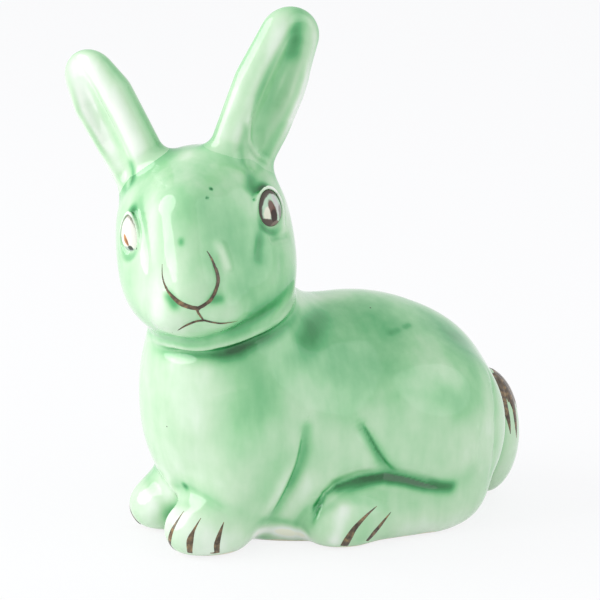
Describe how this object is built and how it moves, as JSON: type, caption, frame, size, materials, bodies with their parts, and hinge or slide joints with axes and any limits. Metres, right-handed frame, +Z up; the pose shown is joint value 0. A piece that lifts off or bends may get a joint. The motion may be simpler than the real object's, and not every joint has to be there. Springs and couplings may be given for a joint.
{
  "type": "ceramic rabbit figurine",
  "caption": "Hollow glazed ceramic rabbit crouching on a flat base with its head turned to its left; a free-standing ornament.",
  "frame": {"origin": "on the flat base, under the middle of the body's barrel", "axes": "+Z up from the base, -Y the way the body faces, +X the rabbit's left, towards which its head is turned"},
  "size_m": [0.069, 0.133, 0.1514],
  "materials": {
    "celadon_glaze": "glossy translucent green glaze, paler on ridges and darker where it pools",
    "eye_enamel": "glossy brown enamel under clear glaze"
  },
  "bodies": {
    "root": {"body": "celadon_glaze", "head": "celadon_glaze", "left_ear": "celadon_glaze", "right_ear": "celadon_glaze", "left_foreleg": "celadon_glaze", "right_foreleg": "celadon_glaze", "left_hind_foot": "celadon_glaze", "right_hind_foot": "celadon_glaze", "tail": "celadon_glaze", "left_eye": "eye_enamel", "right_eye": "eye_enamel"}
  },
  "joints": []
}
